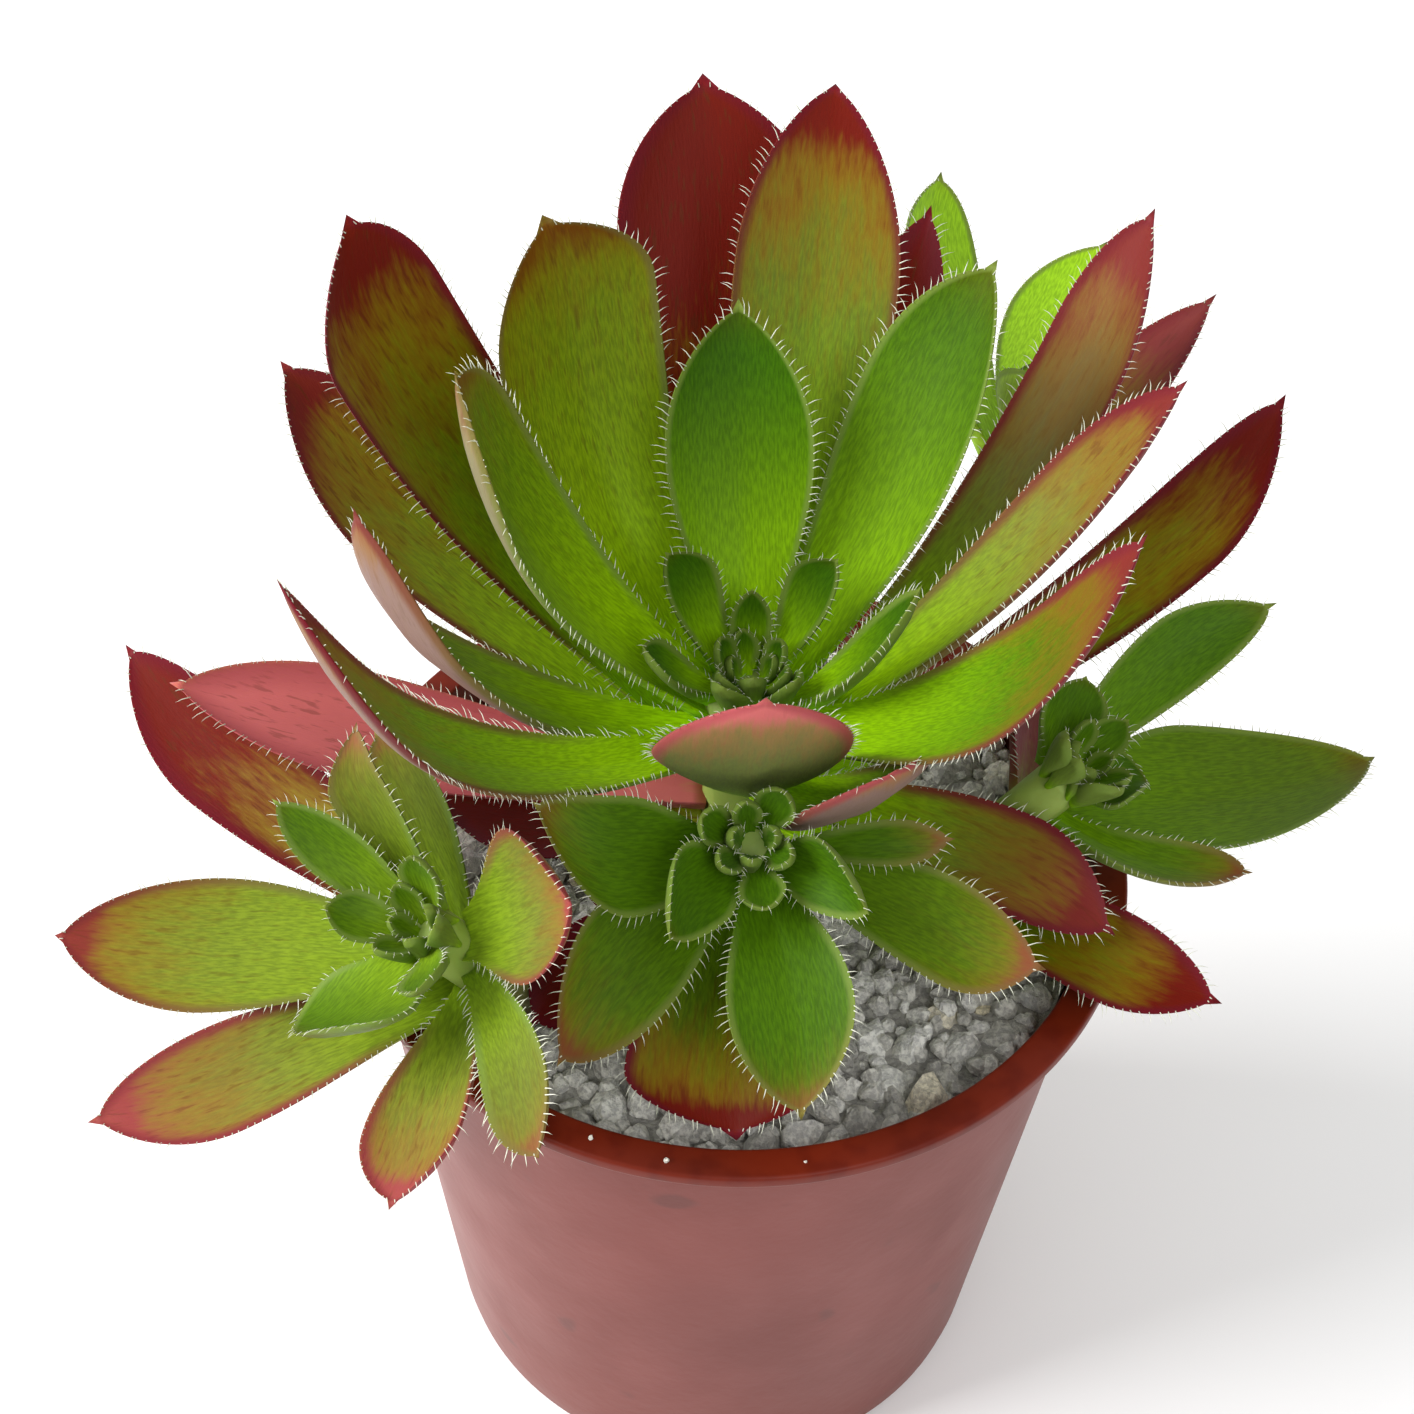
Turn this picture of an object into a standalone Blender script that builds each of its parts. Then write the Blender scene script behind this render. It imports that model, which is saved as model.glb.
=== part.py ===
"""A potted succulent: five hairy-leaved rosettes on short stems, rooted in pumice grit
in a thin plastic nursery pot.

Metres, +Z up. The origin is the centre of the pot's foot, on the surface it stands on.
+X is to the right and -Y is the front of the plant.
"""

import math

import bmesh
import bpy
import numpy as np

MM = 0.001

# Pot.
POT_HEIGHT = 58.0 * MM
RIM_RADIUS = 32.5 * MM
FOOT_RADIUS = 24.5 * MM
WALL = 0.9 * MM
FLOOR = 1.4 * MM
LIP_OVERHANG = 1.9 * MM
LIP_DEPTH = 1.3 * MM
LIP_ROUND = 0.35 * MM
FOOT_ROUND = 1.2 * MM
POT_STEPS = 56
DRAIN_HOLES = 6
DRAIN_RADIUS = 2.2 * MM
DRAIN_RING_RADIUS = 16.0 * MM

# Grit.
GRIT_BELOW_RIM = 2.7 * MM
GRIT_RELIEF = 0.35 * MM
GRIT_RINGS = 6
GRIT_STEPS = 36
FIT_GAP = 0.3 * MM

# Leaves and stems. A leaf starts LEAF_GAP off its stem, NECK of its full width wide. A bud leaf
# starts inside the stem, BUD_NODE under the heart, nearer the axis the shorter it is. TIP_RINGS
# are the rings that round off a stem: how far under the heart, and share of the stem's radius.
PLANT_SCALE = 1.0
PLANT_MM = PLANT_SCALE * MM
LEAF_GAP = 0.35 * PLANT_MM
FIRST_NODE = 1.6 * PLANT_MM
NECK = 0.33
TIP_BLUNTNESS = 0.72
BASE_THICKNESS = 1.75 * PLANT_MM
BLADE_THICKNESS = 0.45 * PLANT_MM
TIP_TAPER = 0.12
ALONG = 9
ACROSS = 5
STEM_SIDES = 10
BUD_SINK = 0.9 * PLANT_MM
BUD_CROWDING = 0.25
BUD_NODE = 1.0 * PLANT_MM
TIP_RINGS = ((1.25 * PLANT_MM, 0.8), (0.9 * PLANT_MM, 0.4))

# Each rosette: crown, where the leafy part of its stem starts (x, y and height over the rim, mm),
# lean, compass bearing of the lean, distance between leaf nodes (share of a leaf's thickness at
# its base), stem radius (mm), where the stem leaves the grit (x, y, mm).
ROSETTES = {
    "main": dict(crown=(0.7, 3.56, -0.65), lean=8, toward=-90, node=0.434, stem=3.4, root=(0.7, 3.8)),
    "front": dict(crown=(1.2, -6.76, 6.0), lean=34, toward=-90, node=0.543, stem=2.2, root=(1.2, -8.5)),
    "left": dict(crown=(-17.97, -15.54, 1.28), lean=32, toward=215, node=0.543, stem=2.2, root=(-18, -15)),
    "right": dict(crown=(21.76, -0.91, 4.82), lean=32, toward=-10, node=0.657, stem=2.0, root=(21, 0)),
    "back": dict(crown=(21.78, 28.36, 14.5), lean=28, toward=50, node=0.657, stem=1.8, root=(10, 17)),
}

# The leaves of each rosette, from its heart outwards, one node lower on the stem each time:
# turn (compass bearing), lift over the rosette's own level, curl from base to tip (degrees),
# length, width (mm), roll (degrees), sideways bend (share of the length), cupping (degrees),
# where it is widest (share of the length), tip's shift to one side (share of the half width).
LEAVES = {
    "main": (
        (-17, 61, 23, 18.0, 5.0, 8, 0.04, 33, 0.6, 0.4),
        (96, 55, 26, 28.5, 11.5, -8, 0, 36, 0.62, 0),
        (173, 59, 46, 37.5, 13.0, 13, -0.04, 29, 0.76, 0.0),
        (-29, 54, 50, 40.5, 11.0, 26, 0.02, 18, 0.61, 0.8),
        (49, 53, 26, 38.0, 11.5, -12, 0.04, 29, 0.67, -0.2),
        (-143, 50, 62, 53.0, 9.5, -6, 0.02, 19, 0.74, -0.9),
        (138, 52, 35, 40.5, 15.0, -10, -0.18, 27, 0.81, 0.2),
        (-174, 40, 68, 36.0, 9.6, 46, -0.03, 20, 0.68, -0.9),
        (7, 53, 21, 44.5, 8.0, -3, 0.08, 37, 0.69, -0.2),
        (-90, 67, 32, 25.5, 15.0, 7, 0.03, 15, 0.56, -0.0),
        (79, 50, 12, 50.0, 13.0, 3, 0.04, 22, 0.71, 0.0),
        (151, 46, 33, 50.5, 14.5, 4, -0.01, 30, 0.85, -0.4),
        (34, 42, 38, 51.0, 9.5, -11, 0.13, 32, 0.78, 0.1),
        (-51, 54, 40, 24.5, 12.0, -8, 0, 20, 0.68, -0.1),
        (152, 28, 17, 46.0, 13.0, -4, 0.02, 31, 0.65, -0.4),
        (-23, 6, -14, 29.0, 8.8, 12, -0.06, 25, 0.72, -0.3),
        (40, 31, 10, 51.0, 9.0, -15, 0, 30, 0.66, 0),
        (97, 45, 7, 54.0, 16.5, 0, -0.01, 20, 0.79, 0.1),
        (181, 17, 20, 43.5, 10.5, 0, 0, 28, 0.66, 0),
        (24, 25, 39, 52.0, 8.5, 13, 0.07, 25, 0.77, 0.6),
        (-28, 6, -14, 38.5, 8.0, 10, -0.04, 22, 0.78, 0.3),
        (71, 38, 10, 48.5, 9.5, 0, 0, 25, 0.66, 0),
        (-178, 6, 25, 22.5, 12.0, 0, 0, 25, 0.66, 0),
    ),
    "front": (
        (-140, 42, -10, 10.0, 6.5, -28, 0.01, 41, 0.5, 0.6),
        (-20, 43, -8, 10.5, 5.5, 50, -0.06, 42, 0.5, -0.5),
        (190, 33, 4, 16.0, 9.0, -14, -0.04, 28, 0.6, -0.8),
        (-73, 22, -18, 19.5, 9.5, -3, -0.07, 28, 0.61, -0.1),
        (6, 18, 5, 13.5, 3.6, 7, -0.05, 30, 0.7, 0.1),
        (-141, 18, -21, 20.0, 9.5, -22, 0.16, 30, 0.59, 0.2),
        (-14, 12, 0, 21.5, 8.0, 9, -0.18, 28, 0.68, 0.3),
        (191, 8, 0, 11.5, 8.0, 0, 0, 20, 0.66, 0),
        (-91, 16, -9, 20.0, 16.0, 14, -0.05, 23, 0.78, 0.1),
        (-144, -4, -12, 19.0, 7.5, 0, 0.01, 26, 0.76, 0.2),
    ),
    "left": (
        (-128, 28, 7, 10.5, 11.0, 35, 0.02, 18, 0.62, -0.4),
        (131, 46, 15, 14.5, 4.5, -8, 0.02, 26, 0.61, -0.1),
        (2, 28, 27, 13.5, 12.0, 14, -0.07, 39, 0.64, -0.2),
        (110, 44, 12, 16.5, 5.0, -20, -0.07, 29, 0.75, -0.8),
        (-52, 25, -4, 23.5, 6.0, 5, -0.13, 25, 0.71, 0.0),
        (171, 24, 9, 29.5, 10.5, -14, 0.08, 27, 0.6, -0.2),
        (100, 34, 20, 17.0, 6.0, 0, 0, 25, 0.66, 0),
        (-95, 19, -11, 19.0, 8.5, 4, -0.04, 44, 0.74, -0.2),
        (134, 20, 16, 38.0, 9.0, -11, 0.03, 25, 0.68, -0.5),
        (-154, 27, -9, 29.5, 9.0, -9, 0.02, 24, 0.68, -0.4),
    ),
    "right": (
        (6, 40, 6, 5.0, 8.0, -39, -0.01, 24, 0.56, -0.1),
        (104, 50, 20, 7.5, 6.5, 0, 0, 25, 0.66, 0),
        (65, 37, 22, 23.0, 6.5, -1, -0.13, 24, 0.67, -0.4),
        (-36, 37, 33, 16.0, 5.5, 9, 0.08, 25, 0.69, 0.1),
        (18, 23, 12, 29.5, 13.5, -30, -0.03, 26, 0.5, 0.3),
        (77, -9, 0, 22.0, 5.6, 0, 0, 25, 0.66, 0),
    ),
    "back": (
        (240, 56, 10, 8.0, 6.0, 0, 0, 25, 0.66, 0),
        (12, 54, 10, 11.0, 7.0, 0, 0, 25, 0.66, 0),
        (136, 45, 22, 25.0, 10.0, -5, -0.01, 19, 0.71, -0.5),
        (75, 32, 13, 30.0, 11.5, -18, -0.01, 21, 0.63, 0.0),
    ),
}

# The unopened leaves of each heart, in the same terms. They are one piece with the stem's tip.
BUDS = {
    "main": (
        (137, 60, 20, 11.5, 5.0, 0, 0, 30, 0.7, 0.4),
        (47, 60, 20, 11.0, 4.5, 0, 0, 35, 0.7, -0.4),
        (92, 68, 15, 7.0, 3.4, 0, 0, 30, 0.6, 0),
        (194, 50, 25, 9.5, 4.0, 0, 0, 35, 0.66, 0),
        (-40, 60, 20, 6.0, 3.2, 0, 0, 30, 0.66, 0),
        (-118, 60, 20, 6.0, 3.2, 0, 0, 30, 0.66, 0),
        (155, 72, 10, 4.8, 2.6, 0, 0, 30, 0.66, 0),
        (30, 72, 10, 4.6, 2.5, 0, 0, 30, 0.66, 0),
        (-85, 76, 10, 3.8, 2.2, 0, 0, 30, 0.66, 0),
    ),
    "front": (
        (-78, 45, 10, 5.5, 3.6, 0, 0, 25, 0.66, 0),
        (160, 55, 20, 5.0, 3.2, 0, 0, 30, 0.66, 0),
        (60, 60, 20, 5.5, 3.4, 0, 0, 30, 0.66, 0),
    ),
    "left": (
        (165, 48, 15, 7.0, 4.0, 0, 0, 25, 0.66, 0),
        (70, 60, 20, 6.0, 3.4, 0, 0, 30, 0.66, 0),
        (-70, 45, 10, 8.5, 4.0, 0, 0, 25, 0.66, 0),
    ),
    "right": (
        (-70, 60, 20, 5.0, 3.2, 0, 0, 30, 0.66, 0),
        (60, 62, 20, 5.5, 3.2, 0, 0, 30, 0.66, 0),
        (190, 58, 20, 5.0, 3.0, 0, 0, 30, 0.66, 0),
    ),
    "back": (
        (100, 60, 20, 5.5, 3.4, 0, 0, 30, 0.66, 0),
        (-60, 60, 20, 5.0, 3.2, 0, 0, 30, 0.66, 0),
    ),
}

LEAF_COLOURS = {
    "main": (0.20, 0.30, 0.03),
    "front": (0.17, 0.33, 0.03),
    "left": (0.30, 0.36, 0.08),
    "right": (0.22, 0.38, 0.06),
    "back": (0.36, 0.55, 0.06),
}


def clear_scene():
    for obj in list(bpy.data.objects):
        bpy.data.objects.remove(obj, do_unlink=True)


def material(name, colour, roughness):
    made = bpy.data.materials.new(name)
    made.use_nodes = True
    shader = made.node_tree.nodes["Principled BSDF"]
    shader.inputs["Base Color"].default_value = (*colour, 1)
    shader.inputs["Roughness"].default_value = roughness
    shader.inputs["Metallic"].default_value = 0.0
    made.diffuse_color = (*colour, 1)
    return made


def add_object(name, mesh_data, mat, flat_angle=40):
    """Puts a bmesh into the scene as one object, with its faces pointing out."""
    bmesh.ops.recalc_face_normals(mesh_data, faces=mesh_data.faces)
    mesh = bpy.data.meshes.new(name)
    mesh_data.to_mesh(mesh)
    mesh_data.free()
    mesh.materials.append(mat)
    mesh.shade_smooth()
    mesh.set_sharp_from_angle(angle=math.radians(flat_angle))
    obj = bpy.data.objects.new(name, mesh)
    bpy.context.scene.collection.objects.link(obj)
    return obj


def lathe(profile, steps):
    """Turns an open (radius, height) profile, whose ends lie on the axis, once round Z."""
    turned = bmesh.new()
    corners = [turned.verts.new((radius, 0, height)) for radius, height in profile]
    edges = [turned.edges.new(pair) for pair in zip(corners, corners[1:])]
    bmesh.ops.spin(
        turned, geom=corners + edges, cent=(0, 0, 0), axis=(0, 0, 1), angle=math.tau, steps=steps
    )
    bmesh.ops.remove_doubles(turned, verts=turned.verts, dist=1e-6)
    return turned


def loft(rings, tip=None):
    """A closed skin over rings of points, capped flat at the start and at the end or at a tip."""
    skin = bmesh.new()
    rows = [[skin.verts.new(point) for point in ring] for ring in rings]
    count = len(rows[0])
    for row, above in zip(rows, rows[1:]):
        for i in range(count):
            j = (i + 1) % count
            skin.faces.new((row[i], row[j], above[j], above[i]))
    skin.faces.new(rows[0][::-1])
    if tip is None:
        skin.faces.new(rows[-1])
        return skin
    end = skin.verts.new(tip)
    for i in range(count):
        skin.faces.new((rows[-1][i], rows[-1][(i + 1) % count], end))
    return skin


def arc(centre, radius, start, end, steps):
    """Points of an arc in the (radius, height) plane, angles in degrees."""
    angles = np.radians(np.linspace(start, end, steps + 1))
    return [(centre[0] + radius * math.cos(a), centre[1] + radius * math.sin(a)) for a in angles]


# ---------------------------------------------------------------- pot and grit


def wall_radius(height):
    """Outer radius of the tapering wall at a height."""
    top = RIM_RADIUS - LIP_OVERHANG
    return FOOT_RADIUS + (top - FOOT_RADIUS) * height / POT_HEIGHT


def build_pot():
    outer_top = POT_HEIGHT - LIP_DEPTH
    mouth = wall_radius(POT_HEIGHT) - WALL
    profile = [(0, 0)]
    profile += arc((FOOT_RADIUS - FOOT_ROUND, FOOT_ROUND), FOOT_ROUND, -90, 0, 4)
    profile += [(wall_radius(outer_top), outer_top)]
    profile += arc((RIM_RADIUS - LIP_ROUND, outer_top + LIP_ROUND), LIP_ROUND, -90, 0, 2)
    profile += arc((RIM_RADIUS - LIP_ROUND, POT_HEIGHT - LIP_ROUND), LIP_ROUND, 0, 90, 2)
    profile += arc((mouth + LIP_ROUND, POT_HEIGHT - LIP_ROUND), LIP_ROUND, 90, 180, 2)
    profile += [(wall_radius(FLOOR) - WALL, FLOOR), (0, FLOOR)]
    pot = add_object(
        "pot", lathe(profile, POT_STEPS), material("terracotta_plastic", (0.42, 0.12, 0.08), 0.45)
    )
    for i in range(DRAIN_HOLES):
        bearing = math.tau * (i + 0.5) / DRAIN_HOLES
        drill(pot, f"drain_cutter_{i + 1}", bearing)
    return pot


def drill(pot, name, bearing):
    """Cuts one round drain hole through the pot's floor."""
    bore = bmesh.new()
    bmesh.ops.create_cone(
        bore, cap_ends=True, segments=16, radius1=DRAIN_RADIUS, radius2=DRAIN_RADIUS, depth=4 * FLOOR
    )
    cutter = add_object(name, bore, pot.data.materials[0])
    cutter.location = (
        DRAIN_RING_RADIUS * math.cos(bearing),
        DRAIN_RING_RADIUS * math.sin(bearing),
        FLOOR / 2,
    )
    cutter.hide_render = True
    cutter.display_type = "WIRE"
    cut = pot.modifiers.new(name, "BOOLEAN")
    cut.operation = "DIFFERENCE"
    cut.solver = "EXACT"
    cut.object = cutter


def grit_surface():
    return POT_HEIGHT - GRIT_BELOW_RIM


def grit_radius(height):
    return wall_radius(height) - WALL - FIT_GAP


def build_grit():
    """The bed of grit: it fills the pot, with a low, lumpy top."""
    top, bottom = grit_surface(), FLOOR + FIT_GAP
    reach = grit_radius(top)
    profile = [(reach * i / GRIT_RINGS, top) for i in range(GRIT_RINGS + 1)]
    profile += [(grit_radius(bottom), bottom), (0, bottom)]
    bed = lathe(profile, GRIT_STEPS)
    for vert in bed.verts:
        if vert.co.z > top - FIT_GAP:
            x, y = vert.co.x / MM, vert.co.y / MM
            vert.co.z -= GRIT_RELIEF * (1 + math.sin(0.9 * x + 1.3 * y) * math.cos(1.1 * x - 0.7 * y))
    return add_object("grit", bed, material("pumice_grit", (0.32, 0.31, 0.29), 0.9))


# ---------------------------------------------------------------- plant


def rosette_axes(rosette):
    """Columns: the rosette's own right, back and axis, after it leans over."""
    lean, toward = math.radians(rosette["lean"]), math.radians(rosette["toward"])
    hinge = np.array([-math.sin(toward), math.cos(toward), 0.0])
    skew = np.array([[0, 0, hinge[1]], [0, 0, -hinge[0]], [-hinge[1], hinge[0], 0]])
    return np.eye(3) + math.sin(lean) * skew + (1 - math.cos(lean)) * skew @ skew


def crown_of(rosette):
    x, y, over_rim = rosette["crown"]
    return np.array([x * PLANT_MM, y * PLANT_MM, POT_HEIGHT + over_rim * PLANT_MM])


def node_depth(rosette, rank):
    """How far down the stem from the heart a leaf of this rank, counted from 0, starts."""
    return FIRST_NODE + rosette["node"] * BASE_THICKNESS * rank


def heart_of(name):
    """The heart: the crown lies two nodes under the lowest leaf."""
    rosette = ROSETTES[name]
    leafy = node_depth(rosette, len(LEAVES[name]) + 1)
    return crown_of(rosette) + rosette_axes(rosette)[:, 2] * leafy


def half_width(t, widest):
    """A leaf's half width along it, 0 to 1: a narrow neck, the widest place, a short blunt end."""
    swell = np.sin(np.pi / 2 * np.clip(t / widest, 0, 1)) ** 1.5
    fall = np.clip((t - widest) / (1 - widest), 0, 1)
    return np.where(t <= widest, NECK + (1 - NECK) * swell, (1 - fall**2) ** TIP_BLUNTNESS)


def leaf_rings(name, leaf, start_out, start_down):
    """Rings of a leaf: its midline is a circular arc, and each section a cupped lens.

    start_out and start_down say where on the stem it starts, from the heart.
    """
    turn, lift, curl, length, width, roll, sway, cup, widest, shift = leaf
    length, width = length * PLANT_MM, width * PLANT_MM
    turn, roll, cup = np.radians([turn, roll, cup])
    bend = np.radians(curl if abs(curl) > 0.5 else 0.5)
    t = np.linspace(0, 1, ALONG)[:, None]
    v = np.linspace(-1, 1, ACROSS)[None, :]
    first = np.radians(lift) - bend / 2
    slope = first + bend * t
    out = np.array([np.cos(turn), np.sin(turn), 0])
    side = np.array([-np.sin(turn), np.cos(turn), 0])
    up = np.array([0, 0, 1])
    run = start_out + length * (np.sin(slope) - np.sin(first)) / bend
    rise = -start_down + length * (np.cos(first) - np.cos(slope)) / bend
    late = np.clip((t - widest) / (1 - widest), 0, 1)
    aside = sway * length * t**2 + shift * width / 2 * late**2
    midline = run[..., None] * out + rise[..., None] * up + aside[..., None] * side
    face = np.cos(slope)[..., None] * up - np.sin(slope)[..., None] * out
    rolled = (roll * t)[..., None]
    across = side * np.cos(rolled) + face * np.sin(rolled)
    face = face * np.cos(rolled) - side * np.sin(rolled)
    half = width / 2 * half_width(t, widest) / np.sin(cup)
    upper = midline + (half * np.sin(cup * v))[..., None] * across
    upper = upper + (half * (1 - np.cos(cup * v)))[..., None] * face
    flesh = BLADE_THICKNESS + (BASE_THICKNESS - BLADE_THICKNESS) * (1 - t) ** 1.5
    flesh = flesh * np.sqrt(1 - v**2) * np.sqrt(np.clip((1 - t) / TIP_TAPER, 0, 1))
    lower = upper - flesh[..., None] * face
    rings = np.concatenate([upper, lower[:, -2:0:-1]], axis=1)
    return rings @ rosette_axes(ROSETTES[name]).T + heart_of(name)


def add_leaf(node, name, leaf, start_out, start_down, mat):
    """One leaf of the named rosette, as the object node."""
    rings = leaf_rings(name, leaf, start_out, start_down)
    return add_object(node, loft(rings[:-1], tip=rings[-1][ACROSS // 2]), mat)


def stem_rings(name):
    """Rings of a stem: an easy curve up from the grit, then straight along its leaves."""
    rosette = ROSETTES[name]
    radius = rosette["stem"] * PLANT_MM
    axis = rosette_axes(rosette)[:, 2]
    low, heart = crown_of(rosette), heart_of(name)
    root_x, root_y = rosette["root"]
    root = np.array([root_x * MM, root_y * MM, grit_surface() + FIT_GAP])
    pull = 0.4 * np.linalg.norm(low - root)
    handles = np.array([root, root + [0, 0, pull], low - axis * pull, low])
    rings = []
    for u in np.linspace(0, 1, 6):
        weights = np.array([(1 - u) ** 3, 3 * u * (1 - u) ** 2, 3 * u * u * (1 - u), u**3])
        slopes = np.array([-3 * (1 - u) ** 2, 3 * (1 - u) * (1 - 3 * u), 3 * u * (2 - 3 * u), 3 * u * u])
        rings.append(ring_round(weights @ handles, slopes @ handles, radius))
    for below, share in ((FIRST_NODE, 1.0), *TIP_RINGS):
        rings.append(ring_round(heart - axis * below, axis, radius * share))
    return rings


def ring_round(centre, direction, radius):
    direction = direction / np.linalg.norm(direction)
    first = np.cross(direction, [1.0, 0, 0])
    first = first / np.linalg.norm(first)
    second = np.cross(direction, first)
    angles = np.arange(STEM_SIDES) * math.tau / STEM_SIDES
    return [centre + radius * (first * math.cos(a) + second * math.sin(a)) for a in angles]


def build_stem(name, stem_radius, mat):
    """One stem with the unopened leaves of its heart grown onto its tip, the smallest inmost."""
    stem = add_object(f"{name}_stem", loft(stem_rings(name)), mat)
    for i, bud_leaf in enumerate(BUDS[name], start=1):
        bud_length = bud_leaf[3]
        grown = add_leaf(
            f"{name}_bud_{i}",
            name,
            bud_leaf,
            min(stem_radius - BUD_SINK, BUD_CROWDING * bud_length * PLANT_MM),
            BUD_NODE,
            mat,
        )
        grown.hide_render = True
        grown.display_type = "WIRE"
        join = stem.modifiers.new(grown.name, "BOOLEAN")
        join.operation = "UNION"
        join.solver = "EXACT"
        join.object = grown


def build_plant():
    for name, rosette in ROSETTES.items():
        mat = material(f"{name}_leaf", LEAF_COLOURS[name], 0.5)
        stem_radius = rosette["stem"] * PLANT_MM
        build_stem(name, stem_radius, mat)
        for i, leaf in enumerate(LEAVES[name]):
            node = f"{name}_leaf_{i + 1:02d}"
            add_leaf(node, name, leaf, stem_radius + LEAF_GAP, node_depth(rosette, i), mat)


clear_scene()
build_pot()
build_grit()
build_plant()
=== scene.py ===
import math

import bpy
import numpy as np
from mathutils import Matrix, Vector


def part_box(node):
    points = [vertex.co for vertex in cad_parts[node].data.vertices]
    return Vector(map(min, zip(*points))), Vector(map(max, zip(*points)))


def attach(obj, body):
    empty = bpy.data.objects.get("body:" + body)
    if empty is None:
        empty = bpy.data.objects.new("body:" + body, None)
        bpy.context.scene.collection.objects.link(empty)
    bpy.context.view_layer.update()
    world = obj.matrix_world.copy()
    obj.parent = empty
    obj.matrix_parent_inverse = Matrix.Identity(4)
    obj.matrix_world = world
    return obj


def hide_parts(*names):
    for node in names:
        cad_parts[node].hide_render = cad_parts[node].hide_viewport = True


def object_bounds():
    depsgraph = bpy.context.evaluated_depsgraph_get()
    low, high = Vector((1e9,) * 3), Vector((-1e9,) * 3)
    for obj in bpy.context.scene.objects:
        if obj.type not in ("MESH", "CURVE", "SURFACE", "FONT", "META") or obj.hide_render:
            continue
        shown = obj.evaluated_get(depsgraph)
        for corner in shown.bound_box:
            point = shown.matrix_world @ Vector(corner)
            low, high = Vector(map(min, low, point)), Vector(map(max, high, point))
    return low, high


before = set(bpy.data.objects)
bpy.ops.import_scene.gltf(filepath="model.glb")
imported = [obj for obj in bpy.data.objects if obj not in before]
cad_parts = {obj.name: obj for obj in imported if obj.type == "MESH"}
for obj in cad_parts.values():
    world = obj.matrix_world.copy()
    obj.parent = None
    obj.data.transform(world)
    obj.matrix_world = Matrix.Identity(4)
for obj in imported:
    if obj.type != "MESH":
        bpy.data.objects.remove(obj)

cad_low, cad_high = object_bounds()
MM = 0.001

# ---------------------------------------------------------------- pot
# A 6.5 cm nursery pot, blown from thin terracotta-coloured plastic. The wall tapers to a
# rounded foot with drain holes, and ends in a narrow flat lip. The wall is satin and hazy,
# deeper in colour near the foot, and the lip is a darker brick red.

pot_low, pot_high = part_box("pot")
RIM_RADIUS = pot_high.x
RIM_HEIGHT = pot_high.z
FOOT_RADIUS = 24.5 * MM
FOOT_ROUND = 1.2 * MM
WALL = 0.9 * MM
FLOOR = 1.4 * MM
LIP_OVERHANG = 1.9 * MM
LIP_DEPTH = 1.3 * MM
LIP_ROUND = 0.35 * MM
POT_SIDES = 192
DRAIN_HOLES = 6
DRAIN_RADIUS = 2.2 * MM
DRAIN_RING = 16.0 * MM
DEEP_FOOT = 22.0 * MM


def skins(rings, start, end):
    """Vertices, four-sided and three-sided faces of closed skins over rings of points.

    rings is (copies, rings, sides, 3), with each ring joined to the next and round to its own
    first point. start and end, both (copies, 3), are the points that close the two ends.
    Seen from the end, each ring runs counter-clockwise, so that the faces point out.
    """
    copies, count, sides, _ = rings.shape
    points = np.concatenate([rings.reshape(copies, -1, 3), start[:, None], end[:, None]], axis=1)
    ring, side = np.meshgrid(np.arange(count - 1), np.arange(sides), indexing="ij")
    here = ring * sides + side
    beside = ring * sides + (side + 1) % sides
    quads = np.stack([here, beside, beside + sides, here + sides], axis=-1).reshape(-1, 4)
    around = np.arange(sides)
    after = (around + 1) % sides
    top = (count - 1) * sides
    first = np.full(sides, count * sides)
    fans = np.concatenate([
        np.stack([after, around, first], axis=-1),
        np.stack([top + around, top + after, first + 1], axis=-1),
    ])
    shift = (np.arange(copies) * points.shape[1])[:, None, None]
    return points.reshape(-1, 3), (quads + shift).reshape(-1, 4), (fans + shift).reshape(-1, 3)


def mesh_object(name, parts, materials, smooth=True):
    """One object from several (points, quads, triangles) skins, each with its own material."""
    points, faces, slots, shift = [], [], [], 0
    for slot, (part_points, quads, triangles) in enumerate(parts):
        points.append(part_points)
        faces += (quads + shift).tolist() + (triangles + shift).tolist()
        slots += [slot] * (len(quads) + len(triangles))
        shift += len(part_points)
    mesh = bpy.data.meshes.new(name)
    mesh.from_pydata(np.concatenate(points), [], faces)
    for made in materials:
        mesh.materials.append(made)
    mesh.polygons.foreach_set("material_index", slots)
    mesh.polygons.foreach_set("use_smooth", [smooth] * len(faces))
    mesh.update()
    made = bpy.data.objects.new(name, mesh)
    bpy.context.scene.collection.objects.link(made)
    return made


def bend(centre, radius, start, end, steps):
    """Points of an arc in the (radius, height) plane, from one angle to another in degrees."""
    angle = np.radians(np.linspace(start, end, steps + 1))
    return np.stack([centre[0] + radius * np.cos(angle), centre[1] + radius * np.sin(angle)], axis=-1)


def wall_radius(height):
    """Outer radius of the tapering wall at a height: it grows in a straight line."""
    return FOOT_RADIUS + (RIM_RADIUS - LIP_OVERHANG - FOOT_RADIUS) * height / RIM_HEIGHT


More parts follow.
